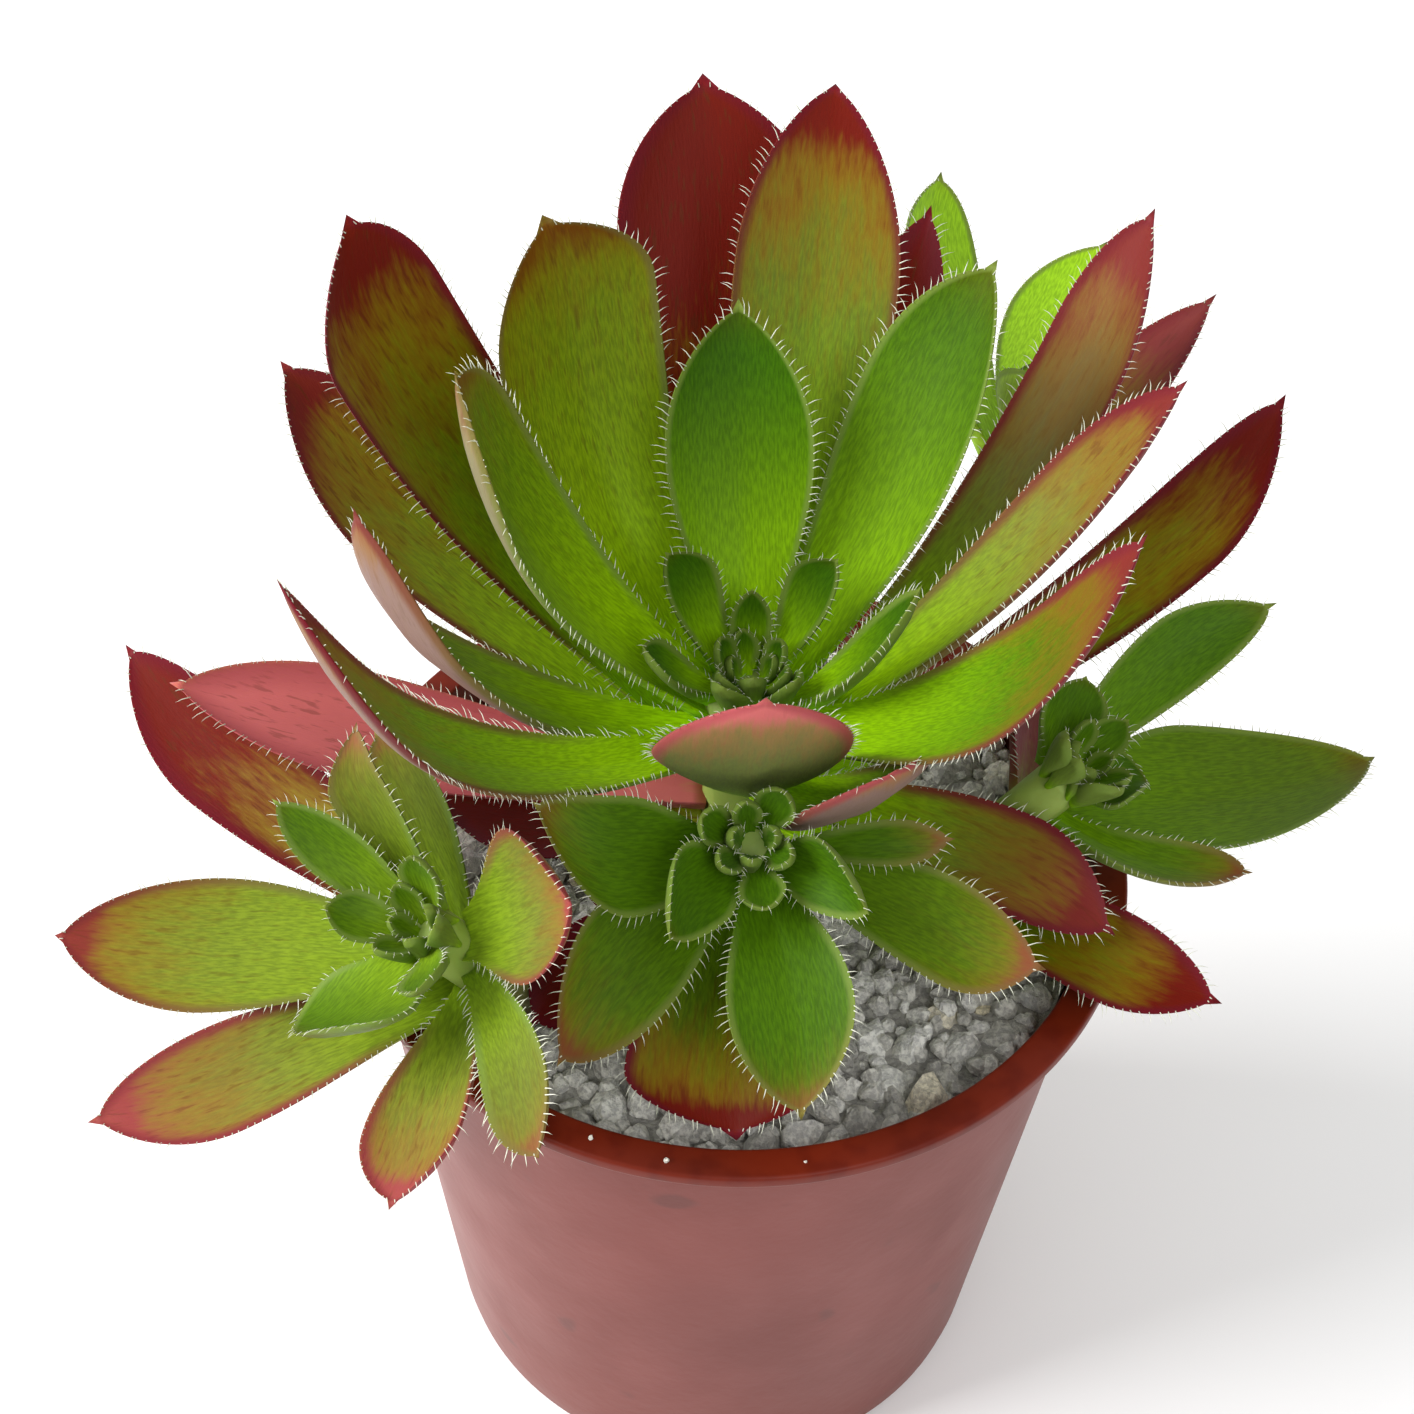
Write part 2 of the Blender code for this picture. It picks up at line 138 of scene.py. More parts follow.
def pot_skin():
    """The pot's profile, from its foot up the outside and down the inside, turned once round Z."""
    under_lip = RIM_HEIGHT - LIP_DEPTH
    mouth = wall_radius(RIM_HEIGHT) - WALL
    heights = np.linspace(2 * FOOT_ROUND, under_lip, 30)
    depths = np.linspace(RIM_HEIGHT - 2 * LIP_ROUND, FLOOR, 16)
    profile = np.concatenate([
        [[0.2 * FOOT_RADIUS, 0], [0.6 * FOOT_RADIUS, 0]],
        bend((FOOT_RADIUS - FOOT_ROUND, FOOT_ROUND), FOOT_ROUND, -90, 0, 6),
        np.stack([wall_radius(heights), heights], axis=-1),
        bend((RIM_RADIUS - LIP_ROUND, under_lip + LIP_ROUND), LIP_ROUND, -90, 0, 5),
        bend((RIM_RADIUS - LIP_ROUND, RIM_HEIGHT - LIP_ROUND), LIP_ROUND, 0, 90, 5),
        bend((mouth + LIP_ROUND, RIM_HEIGHT - LIP_ROUND), LIP_ROUND, 90, 180, 5),
        np.stack([wall_radius(depths) - WALL, depths], axis=-1),
        [[0.6 * FOOT_RADIUS, FLOOR], [0.2 * FOOT_RADIUS, FLOOR]],
    ])
    turn = np.arange(POT_SIDES) * math.tau / POT_SIDES
    radius, height = profile[:, :1], profile[:, 1:]
    rings = np.stack([radius * np.cos(turn), radius * np.sin(turn), height + 0 * turn], axis=-1)
    return skins(rings[None], np.array([[0, 0, 0.0]]), np.array([[0, 0, FLOOR]]))


def drill(piece):
    """Cuts the drain holes through the floor with one cylinder each."""
    for i in range(DRAIN_HOLES):
        bearing = math.tau * (i + 0.5) / DRAIN_HOLES
        turn = np.arange(32) * math.tau / 32
        ring = np.stack([
            DRAIN_RING * math.cos(bearing) + DRAIN_RADIUS * np.cos(turn),
            DRAIN_RING * math.sin(bearing) + DRAIN_RADIUS * np.sin(turn),
            0 * turn,
        ], axis=-1)
        rings = np.stack([ring - [0, 0, FLOOR], ring + [0, 0, 2 * FLOOR]])
        middle = ring.mean(axis=0)
        cutter = mesh_object(
            "drain_cutter",
            [skins(rings[None], middle[None] - [0, 0, FLOOR], middle[None] + [0, 0, 2 * FLOOR])],
            [],
        )
        cut = piece.modifiers.new("drain", "BOOLEAN")
        cut.object = cutter
        cut.solver = "EXACT"
        finished = bpy.data.meshes.new_from_object(piece.evaluated_get(bpy.context.evaluated_depsgraph_get()))
        piece.modifiers.clear()
        piece.data = finished
        bpy.data.objects.remove(cutter)


def new_material(name, roughness, **settings):
    """A material with its Principled shader, and the plain numbers and colours set on it."""
    made = bpy.data.materials.new(name)
    made.use_nodes = True
    shader = made.node_tree.nodes["Principled BSDF"]
    shader.inputs["Roughness"].default_value = roughness
    for socket, value in settings.items():
        shader.inputs[socket.replace("_", " ").title()].default_value = value
    return made, shader


def node(tree, kind, *links, **settings):
    """Adds a node, sets its properties, and links or sets its inputs in order; None skips one."""
    made = tree.nodes.new(kind)
    for key, value in settings.items():
        setattr(made, key, value)
    for socket, value in zip(made.inputs, links):
        if isinstance(value, bpy.types.NodeSocket):
            tree.links.new(value, socket)
        elif value is not None:
            socket.default_value = value
    return made


def maths(tree, operation, *values):
    """The result of one sum on links or plain numbers."""
    return node(tree, "ShaderNodeMath", *values, operation=operation).outputs[0]


def between(tree, value, low, high):
    """0 below low, 1 above high, and a smooth step between them."""
    made = node(tree, "ShaderNodeMapRange", value, low, high, 0.0, 1.0, interpolation_type="SMOOTHSTEP")
    return made.outputs[0]


def mixed(tree, share, one, other, blend="MIX"):
    """Two colours mixed by a share."""
    made = tree.nodes.new("ShaderNodeMix")
    made.data_type = "RGBA"
    made.blend_type = blend
    for socket, value in zip((made.inputs[0], made.inputs[6], made.inputs[7]), (share, one, other)):
        if isinstance(value, bpy.types.NodeSocket):
            tree.links.new(value, socket)
        else:
            socket.default_value = (*value, 1) if isinstance(value, tuple) else value
    return made.outputs[2]


def noise(tree, where, scale, detail=2.0, roughness=0.5):
    """Cloudy grey, from 0 to 1, over the object's or the leaf's own coordinates."""
    made = node(tree, "ShaderNodeTexNoise", where)
    made.inputs["Scale"].default_value = scale
    made.inputs["Detail"].default_value = detail
    made.inputs["Roughness"].default_value = roughness
    return made.outputs["Fac"]


def bumped(tree, shader, height, strength, distance):
    """Roughens a finish by a height, with its greatest depth in metres."""
    made = node(tree, "ShaderNodeBump")
    made.inputs["Strength"].default_value = strength
    made.inputs["Distance"].default_value = distance
    tree.links.new(height, made.inputs["Height"])
    tree.links.new(made.outputs["Normal"], shader.inputs["Normal"])


def terracotta_plastic():
    """Satin plastic with faint clouds and scuffs, and a brick-red lip."""
    made, shader = new_material("terracotta_plastic", 0.4)
    shader.inputs["Specular IOR Level"].default_value = 0.16
    tree = made.node_tree
    place = tree.nodes.new("ShaderNodeTexCoord").outputs["Object"]
    z = node(tree, "ShaderNodeSeparateXYZ", place).outputs[2]
    lip = between(tree, z, RIM_HEIGHT - LIP_DEPTH - 0.15 * MM, RIM_HEIGHT - LIP_DEPTH + 0.1 * MM)
    cloud = noise(tree, place, 60.0, 3.0)
    wall = mixed(tree, between(tree, cloud, 0.3, 0.75), (0.165, 0.034, 0.026), (0.130, 0.025, 0.018))
    wall = mixed(tree, between(tree, z, 0.0, DEEP_FOOT), (0.15, 0.028, 0.019), wall)
    marks = between(tree, noise(tree, place, 190.0, 1.0), 0.70, 0.78)
    wall = mixed(tree, maths(tree, "MULTIPLY", marks, 0.5), wall, (0.07, 0.018, 0.014))
    worn = between(tree, noise(tree, place, 400.0), 0.4, 0.7)
    rim = mixed(tree, worn, (0.13, 0.012, 0.003), (0.10, 0.008, 0.002))
    tree.links.new(mixed(tree, lip, wall, rim), shader.inputs["Base Color"])
    satin = maths(tree, "ADD", maths(tree, "MULTIPLY", noise(tree, place, 120.0, 3.0), 0.16), 0.30)
    tree.links.new(satin, shader.inputs["Roughness"])
    bumped(tree, shader, noise(tree, place, 900.0, 2.0), 0.12, 0.2 * MM)
    return made


plastic = terracotta_plastic()
pot = mesh_object("pot_shell", [pot_skin()], [plastic])
drill(pot)
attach(pot, "root")
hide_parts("pot")

# ---------------------------------------------------------------- grit
# Crushed pumice, up to 4 mm across, poured into the pot to just below the lip. The grains
# lie loose on each other. A bed of finer grit fills the gaps between them, in a darker tone that is painted
# shade.

grit_low, grit_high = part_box("grit")
GRIT_TOP = grit_high.z
GRIT_REACH = grit_high.x
GRAIN_RINGS = 5
GRAIN_SIDES = 8
GRAIN_CUTS = 12
PLACE_TRIES = 60
BIG_GRAINS = 360
SMALL_GRAINS = 900
BED_RINGS = 24
BED_SIDES = 96
BED_DEPTH = 1.6 * MM
BED_GAP = 0.3 * MM
grains = np.random.default_rng(7)


def crushed(count):
    """Angular grains of unit size: a ball cut by random planes, along a coarse grid of directions.

    The distance from the middle along a direction is the nearest plane's offset over the
    cosine of the angle to it.
    """
    rise = np.linspace(-90, 90, GRAIN_RINGS + 2) * math.pi / 180
    turn = np.arange(GRAIN_SIDES) * math.tau / GRAIN_SIDES
    grid = np.stack([
        np.cos(rise)[:, None] * np.cos(turn),
        np.cos(rise)[:, None] * np.sin(turn),
        np.sin(rise)[:, None] + 0 * turn,
    ], axis=-1)
    planes = grains.normal(size=(count, GRAIN_CUTS, 3))
    planes /= np.linalg.norm(planes, axis=-1, keepdims=True)
    offsets = grains.uniform(0.62, 0.95, (count, GRAIN_CUTS))
    facing = np.einsum("rsk,cpk->crsp", grid, planes)
    far = np.where(facing > 0.15, offsets[:, None, None, :] / np.maximum(facing, 0.15), 1.15)
    shape = grid[None] * np.minimum(far.min(axis=-1), 1.15)[..., None]
    stretch = grains.uniform(0.75, 1.15, (count, 1, 1, 3))
    return shape * stretch


def turned_any_way(shapes):
    """Each shape turned by its own random rotation, from a random unit quaternion."""
    q = grains.normal(size=(len(shapes), 4))
    w, x, y, z = (q / np.linalg.norm(q, axis=-1, keepdims=True)).T
    turn = np.array([
        [1 - 2 * (y * y + z * z), 2 * (x * y - w * z), 2 * (x * z + w * y)],
        [2 * (x * y + w * z), 1 - 2 * (x * x + z * z), 2 * (y * z - w * x)],
        [2 * (x * z - w * y), 2 * (y * z + w * x), 1 - 2 * (x * x + y * y)],
    ])
    return np.einsum("ijc,crsj->crsi", turn, shapes)


def scattered(sizes, top, spacing):
    """Centres of grains: each tries random places and keeps the first that is clear of the rest."""
    kept = np.zeros((0, 4))
    for size in sizes:
        tries = grains.uniform(-1, 1, (PLACE_TRIES, 2)) * (GRIT_REACH - size)
        tries = tries[np.hypot(*tries.T) < GRIT_REACH - size]
        apart = np.hypot(tries[:, None, 0] - kept[None, :, 0], tries[:, None, 1] - kept[None, :, 1])
        clear = (apart > spacing * (size + kept[None, :, 3])).all(axis=1)
        if clear.any():
            x, y = tries[clear][0]
            kept = np.append(kept, [[x, y, top, size]], axis=0)
    return kept


def grain_skins(centres):
    """One closed skin for each row (x, y, z, size) of centres."""
    shapes = turned_any_way(crushed(len(centres))) * centres[:, None, None, 3:]
    shapes = shapes + centres[:, None, None, :3]
    return skins(shapes[:, 1:-1], shapes[:, 0].mean(axis=1), shapes[:, -1].mean(axis=1))


def pumice():
    """Porous stone, mostly grey and here and there tan or white, one tone for each grain."""
    made, shader = new_material("pumice_grit", 0.9)
    tree = made.node_tree
    place = tree.nodes.new("ShaderNodeTexCoord").outputs["Object"]
    tone = node(tree, "ShaderNodeAttribute", attribute_name="grain_tone").outputs["Fac"]
    ramp = node(tree, "ShaderNodeValToRGB", tone)
    stops = (
        # Tone 0, the darkest, colours the bed: painted shade in the gaps between the loose grains.
        (0.0, (0.42, 0.41, 0.38)),
        (0.35, (0.70, 0.69, 0.64)),
        (0.62, (0.80, 0.79, 0.75)),
        (0.82, (0.90, 0.90, 0.86)),
        (0.90, (0.85, 0.76, 0.54)),
        (1.0, (0.96, 0.96, 0.93)),
    )
    for position, colour in stops[1:-1]:
        ramp.color_ramp.elements.new(position).color = (*colour, 1)
    ramp.color_ramp.elements[0].color = (*stops[0][1], 1)
    ramp.color_ramp.elements[-1].color = (*stops[-1][1], 1)
    speckle = between(tree, noise(tree, place, 1800.0, 4.0, 0.7), 0.36, 0.62)
    stain = mixed(tree, speckle, (0.62, 0.62, 0.62), (1.05, 1.05, 1.02))
    tree.links.new(mixed(tree, 1.0, ramp.outputs["Color"], stain, "MULTIPLY"), shader.inputs["Base Color"])
    pores = maths(tree, "ADD", noise(tree, place, 1500.0, 4.0, 0.7), maths(tree, "MULTIPLY", speckle, 0.4))
    bumped(tree, shader, pores, 0.7, 0.35 * MM)
    return made


def bed_skin():
    """The fine grit below: a filled drum with a lumpy top, in rings from the bottom to the top.

    The lumps are two products of crossed sine waves, 2 to 4 mm long.
    """
    top = GRIT_TOP - BED_DEPTH
    bottom = grit_low.z
    turn = np.arange(BED_SIDES) * math.tau / BED_SIDES
    shares = np.linspace(1, 0.06, BED_RINGS)
    low_radius = wall_radius(bottom) - WALL - BED_GAP
    top_radius = wall_radius(top) - WALL - BED_GAP
    radius = np.concatenate([[0.3 * low_radius, low_radius], top_radius * shares])[:, None]
    height = np.concatenate([[bottom, bottom], np.full(BED_RINGS, top)])[:, None]
    x, y = radius * np.cos(turn), radius * np.sin(turn)
    lumps = 0.35 * MM * np.sin(1.9 * x / MM + 1.1) * np.cos(1.7 * y / MM)
    lumps = lumps + 0.25 * MM * np.sin(3.1 * x / MM) * np.sin(2.7 * y / MM + 0.6)
    rings = np.stack([x, y, height + lumps * (height > bottom)], axis=-1)
    return skins(rings[None], np.array([[0, 0, bottom]]), np.array([[0, 0, top]]))


# Two sizes of loose grain on the bed, and a few crumbs left on the lip.
big = scattered(np.sort(grains.uniform(1.0, 2.3, BIG_GRAINS))[::-1] * MM, GRIT_TOP - 0.9 * MM, 0.80)
big[:, 2] -= 0.45 * big[:, 3] + grains.uniform(-0.3, 0.5, len(big)) * MM
small = scattered(np.sort(grains.uniform(0.45, 1.15, SMALL_GRAINS))[::-1] * MM, GRIT_TOP - 1.1 * MM, 0.72)
small[:, 2] -= grains.uniform(-0.1, 0.9, len(small)) * MM
stones = np.concatenate([big, small])
bed = bed_skin()
loose = grain_skins(stones)
stone = pumice()
grit = mesh_object("grit_bed", [bed, loose], [stone, stone], smooth=False)
# The bed takes tone 0, the darkest: painted shade in the gaps between the loose grains.
tone = np.concatenate([
    np.full(len(bed[0]), 0.0),
    np.repeat(np.clip(grains.beta(2.2, 2.4, len(stones)), 0, 1), len(loose[0]) // len(stones)),
])
grit.data.attributes.new("grain_tone", "FLOAT", "POINT").data.foreach_set("value", tone)
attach(grit, "root")
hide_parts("grit")

crumb_turn = np.radians([207, 214, 219, 228, 236, 243, 251, 262, 281])
crumb_size = np.array([0.22, 0.30, 0.18, 0.32, 0.26, 0.34, 0.20, 0.24, 0.16]) * MM
crumb_reach = RIM_RADIUS - np.array([1.2, 0.9, 1.6, 1.0, 1.3, 0.8, 1.5, 1.1, 1.2]) * MM
crumbs = np.stack([
    crumb_reach * np.cos(crumb_turn),
    crumb_reach * np.sin(crumb_turn),
    RIM_HEIGHT + np.minimum(0.3 * crumb_size, 0.2 * MM),
    crumb_size,
], axis=-1)
rim_crumbs = mesh_object("rim_crumbs", [grain_skins(crumbs)], [stone], smooth=False)
tone = np.full(len(rim_crumbs.data.vertices), 0.97)
rim_crumbs.data.attributes.new("grain_tone", "FLOAT", "POINT").data.foreach_set("value", tone)
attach(rim_crumbs, "root")

# ---------------------------------------------------------------- leaves
# Fleshy, spoon-shaped leaves with a pointed tip, set one under the other round a short stem.
# Old leaves flush red from the tip and the margins, and are purple below. Each margin carries
# a row of stiff white hairs.

LEAF_GAP = 0.35 * MM
ROOT_REACH = 0.6 * MM
FIRST_NODE = 1.6 * MM
NECK = 0.33
TIP_BLUNTNESS = 0.72
BASE_THICKNESS = 1.75 * MM
BLADE_THICKNESS = 0.55 * MM
TIP_TAPER = 0.12
TIP_SPUR = 0.9 * MM
GROOVE_DEPTH = 0.05
GROOVE_WIDTH = 0.16
RIPPLE = 0.02
ALONG = 46
AROUND = 40
HAIR_EVERY = 0.66 * MM
HAIR_LENGTH = 1.1 * MM
HAIR_RADIUS = 0.05 * MM
HAIR_SINK = 0.12 * MM
LEAF_TRAITS = ("age", "flush", "dusk", "bloom", "blush")
hair_draw = np.random.default_rng(11)

# Each rosette: crown, where the leafy part of its stem starts (x, y and height over the rim, mm),
# lean, compass bearing of the lean, distance between leaf nodes (share of a leaf's thickness at
# its base), stem radius (mm), where the stem leaves the grit (x, y, mm).
ROSETTES = {
    "main": dict(crown=(0.7, 3.56, -0.65), lean=8, toward=-90, node=0.434, stem=3.4, root=(0.7, 3.8)),
    "front": dict(crown=(1.2, -6.76, 6.0), lean=34, toward=-90, node=0.543, stem=2.2, root=(1.2, -8.5)),
    "left": dict(crown=(-17.97, -15.54, 1.28), lean=32, toward=215, node=0.543, stem=2.2, root=(-18, -15)),
    "right": dict(crown=(21.76, -0.91, 4.82), lean=32, toward=-10, node=0.657, stem=2.0, root=(21, 0)),
    "back": dict(crown=(21.78, 28.36, 14.5), lean=28, toward=50, node=0.657, stem=1.8, root=(10, 17)),
}

# The leaves of each rosette, from its heart outwards, one node lower on the stem each time.
# Shape: turn (compass bearing), lift over the rosette's own level, curl from base to tip
# (degrees), length, width (mm), roll (degrees), sideways bend (share of the length), cupping
# (degrees), where it is widest (share of the length), tip shifted to a side (share of the half
# width). Colour: age (fresh to olive), flush (how far the red reaches down from the tip), dusk
# (a tan cast over the face), bloom (purple below), blush (red paled to pink).
LEAVES = {
    "main": (
        ((-17, 61, 23, 18.0, 5.0, 8, 0.04, 33, 0.6, 0.4), (0, 0.03, 0, 0, 0)),
        ((96, 55, 26, 28.5, 11.5, -8, 0, 36, 0.62, 0), (0, 0.02, 0, 0, 0)),
        ((173, 59, 46, 37.5, 13.0, 13, -0.04, 29, 0.76, 0.0), (0.5, 0.1, 0, 0.55, 0)),
        ((-29, 54, 50, 40.5, 11.0, 26, 0.02, 18, 0.61, 0.8), (0, 0.22, 0, 0.8, 0.1)),
        ((49, 53, 26, 38.0, 11.5, -12, 0.04, 29, 0.67, -0.2), (0.1, 0.03, 0, 0, 0)),
        ((-143, 50, 62, 53.0, 9.5, -6, 0.02, 19, 0.74, -0.9), (0.35, 0.22, 0, 1, 0)),
        ((138, 52, 35, 40.5, 15.0, -10, -0.18, 27, 0.81, 0.2), (0.85, 0.12, 0, 0, 0)),
        ((-174, 40, 68, 36.0, 9.6, 46, -0.03, 20, 0.68, -0.9), (0.5, 0.16, 0, 1, 0.1)),
        ((7, 53, 21, 44.5, 8.0, -3, 0.08, 37, 0.69, -0.2), (0.75, 0.22, 0.5, 0.6, 0.1)),
        ((-90, 67, 32, 25.5, 15.0, 7, 0.03, 15, 0.56, -0.0), (0.3, 0.3, 0, 0.3, 0.75)),
        ((79, 50, 12, 50.0, 13.0, 3, 0.04, 22, 0.71, 0.0), (0.35, 0.2, 0.2, 0, 0)),
        ((151, 46, 33, 50.5, 14.5, 4, -0.01, 30, 0.85, -0.4), (0.8, 0.3, 0, 0.3, 0)),
        ((34, 42, 38, 51.0, 9.5, -11, 0.13, 32, 0.78, 0.1), (0.45, 0.26, 0.9, 0.6, 0.1)),
        ((-51, 54, 40, 24.5, 12.0, -8, 0, 20, 0.68, -0.1), (0.3, 0.2, 0.4, 1, 0.5)),
        ((152, 28, 17, 46.0, 13.0, -4, 0.02, 31, 0.65, -0.4), (1, 0.26, 0.2, 0.6, 0.05)),
        ((-23, 6, -14, 29.0, 8.8, 12, -0.06, 25, 0.72, -0.3), (0.6, 0.34, 0.3, 1, 0.1)),
        ((40, 31, 10, 51.0, 9.0, -15, 0, 30, 0.66, 0), (0.7, 0.34, 0.5, 0.8, 0.2)),
        ((97, 45, 7, 54.0, 16.5, 0, -0.01, 20, 0.79, 0.1), (1, 0.72, 0, 0, 0)),
        ((181, 17, 20, 43.5, 10.5, 0, 0, 28, 0.66, 0), (1, 1.3, 0, 0.6, 0.85)),
        ((24, 25, 39, 52.0, 8.5, 13, 0.07, 25, 0.77, 0.6), (0.7, 0.32, 0, 0.3, 0)),
        ((-28, 6, -14, 38.5, 8.0, 10, -0.04, 22, 0.78, 0.3), (0.4, 0.26, 0, 0.5, 0)),
        ((71, 38, 10, 48.5, 9.5, 0, 0, 25, 0.66, 0), (1, 1.2, 0, 0, 0)),
        ((-178, 6, 25, 22.5, 12.0, 0, 0, 25, 0.66, 0), (1, 1.0, 0, 0.3, 0)),
    ),
    "front": (
        ((-140, 42, -10, 10.0, 6.5, -28, 0.01, 41, 0.5, 0.6), (0, 0.03, 0, 0, 0)),
        ((-20, 43, -8, 10.5, 5.5, 50, -0.06, 42, 0.5, -0.5), (0, 0.03, 0, 0, 0)),
        ((190, 33, 4, 16.0, 9.0, -14, -0.04, 28, 0.6, -0.8), (0.1, 0.08, 0, 0, 0)),
        ((-73, 22, -18, 19.5, 9.5, -3, -0.07, 28, 0.61, -0.1), (0.05, 0.08, 0, 0, 0.2)),
        ((6, 18, 5, 13.5, 3.6, 7, -0.05, 30, 0.7, 0.1), (0.1, 0.1, 0, 0.5, 0.2)),
        ((-141, 18, -21, 20.0, 9.5, -22, 0.16, 30, 0.59, 0.2), (0.25, 0.12, 0, 0, 0.1)),
        ((-14, 12, 0, 21.5, 8.0, 9, -0.18, 28, 0.68, 0.3), (0.4, 0.12, 0, 0, 0.2)),
        ((191, 8, 0, 11.5, 8.0, 0, 0, 20, 0.66, 0), (0.8, 0.4, 0, 0, 0)),
        ((-91, 16, -9, 20.0, 16.0, 14, -0.05, 23, 0.78, 0.1), (0.55, 0.3, 0, 0.2, 0)),
        ((-144, -4, -12, 19.0, 7.5, 0, 0.01, 26, 0.76, 0.2), (1, 1.2, 0, 0.2, 0)),
    ),
    "left": (
        ((-128, 28, 7, 10.5, 11.0, 35, 0.02, 18, 0.62, -0.4), (0, 0.04, 0, 0, 0)),
        ((131, 46, 15, 14.5, 4.5, -8, 0.02, 26, 0.61, -0.1), (0, 0.02, 0, 0, 0)),
        ((2, 28, 27, 13.5, 12.0, 14, -0.07, 39, 0.64, -0.2), (0.5, 0.22, 0.4, 0.4, 0.3)),
        ((110, 44, 12, 16.5, 5.0, -20, -0.07, 29, 0.75, -0.8), (0.4, 0.1, 0.2, 0.4, 0.3)),
        ((-52, 25, -4, 23.5, 6.0, 5, -0.13, 25, 0.71, 0.0), (0.35, 0.1, 0.3, 0.3, 0.2)),
        ((171, 24, 9, 29.5, 10.5, -14, 0.08, 27, 0.6, -0.2), (0.8, 0.18, 0.1, 0.2, 0.1)),
        ((100, 34, 20, 17.0, 6.0, 0, 0, 25, 0.66, 0), (0.4, 0.08, 0.2, 0.4, 0.3)),
        ((-95, 19, -11, 19.0, 8.5, 4, -0.04, 44, 0.74, -0.2), (0.9, 0.24, 0.3, 0.2, 0.3)),
        ((134, 20, 16, 38.0, 9.0, -11, 0.03, 25, 0.68, -0.5), (0.9, 0.62, 0.3, 0.3, 0)),
        ((-154, 27, -9, 29.5, 9.0, -9, 0.02, 24, 0.68, -0.4), (0.9, 0.26, 0.4, 0.2, 0.25)),
    ),
    "right": (
        ((6, 40, 6, 5.0, 8.0, -39, -0.01, 24, 0.56, -0.1), (0, 0.03, 0, 0, 0)),
        ((104, 50, 20, 7.5, 6.5, 0, 0, 25, 0.66, 0), (0, 0.03, 0, 0, 0)),
        ((65, 37, 22, 23.0, 6.5, -1, -0.13, 24, 0.67, -0.4), (0, 0.03, 0, 0, 0)),
        ((-36, 37, 33, 16.0, 5.5, 9, 0.08, 25, 0.69, 0.1), (0.2, 0.12, 0, 0.2, 0.1)),
        ((18, 23, 12, 29.5, 13.5, -30, -0.03, 26, 0.5, 0.3), (0.3, 0.06, 0.05, 0, 0)),
        ((77, -9, 0, 22.0, 5.6, 0, 0, 25, 0.66, 0), (1, 0.9, 0, 0, 0.2)),
    ),
    "back": (
        ((240, 56, 10, 8.0, 6.0, 0, 0, 25, 0.66, 0), (0, 0, 0, 0, 0)),
        ((12, 54, 10, 11.0, 7.0, 0, 0, 25, 0.66, 0), (0, 0, 0, 0, 0)),
        ((136, 45, 22, 25.0, 10.0, -5, -0.01, 19, 0.71, -0.5), (0, 0.02, 0, 0, 0)),
        ((75, 32, 13, 30.0, 11.5, -18, -0.01, 21, 0.63, 0.0), (0, 0.02, 0, 0, 0)),
    ),
}


def rosette_axes(rosette):
    """Columns: the rosette's own right, back and axis, after it leans over its hinge."""
    lean, toward = math.radians(rosette["lean"]), math.radians(rosette["toward"])
    hinge = np.array([-math.sin(toward), math.cos(toward), 0.0])
    skew = np.array([[0, 0, hinge[1]], [0, 0, -hinge[0]], [-hinge[1], hinge[0], 0]])
    return np.eye(3) + math.sin(lean) * skew + (1 - math.cos(lean)) * skew @ skew


def crown_of(rosette):
    """Where the leafy part of a rosette's stem starts."""
    x, y, over_rim = rosette["crown"]
    return np.array([x * MM, y * MM, RIM_HEIGHT + over_rim * MM])


def node_depth(rosette, rank):
    """How far down the stem from the heart a leaf of this rank, counted from 0, starts."""
    return FIRST_NODE + rosette["node"] * BASE_THICKNESS * rank


def heart_of(name):
    """The heart: the crown lies two nodes under the lowest leaf."""
    rosette = ROSETTES[name]
    leafy = node_depth(rosette, len(LEAVES[name]) + 1)
    return crown_of(rosette) + rosette_axes(rosette)[:, 2] * leafy


def half_width(t, widest):
    """A leaf's half width along it, 0 to 1: a narrow neck, the widest place, a short blunt end.

    It is NECK + (1 - NECK) sin(pi t / 2 widest)^1.5 up to the widest place, and
    (1 - fall^2)^TIP_BLUNTNESS beyond it, where fall grows from 0 to 1 towards the tip.
    """
    swell = np.sin(np.pi / 2 * np.clip(t / widest, 0, 1)) ** 1.5
    fall = np.clip((t - widest) / (1 - widest), 0, 1)
    return np.where(t <= widest, NECK + (1 - NECK) * swell, (1 - fall**2) ** TIP_BLUNTNESS)


def leaf_frame(leaf, start_out, start_down, t):
    """A leaf's midline, a circular arc, with its across and face directions, rolled towards the tip.

    With slope = first + arc t, the arc runs out by (sin slope - sin first) / arc and up by
    (cos first - cos slope) / arc leaf lengths. The sideways bend grows with t squared.
    """
    turn, lift, curl, length, width, roll, sway, cup, widest, shift = leaf
    length = length * MM
    turn, roll = np.radians([turn, roll])
    arc = np.radians(curl if abs(curl) > 0.5 else 0.5)
    first = np.radians(lift) - arc / 2
    slope = first + arc * t
    out = np.array([np.cos(turn), np.sin(turn), 0])
    side = np.array([-np.sin(turn), np.cos(turn), 0])
    up = np.array([0, 0, 1])
    run = start_out + length * (np.sin(slope) - np.sin(first)) / arc
    rise = -start_down + length * (np.cos(first) - np.cos(slope)) / arc
    late = np.clip((t - widest) / (1 - widest), 0, 1)
    aside = sway * length * t**2 + shift * width * MM / 2 * late**2
    midline = run * out + rise * up + aside * side
    face = np.cos(slope) * up - np.sin(slope) * out
    across = side * np.cos(roll * t) + face * np.sin(roll * t)
    return midline, across, face * np.cos(roll * t) - side * np.sin(roll * t)


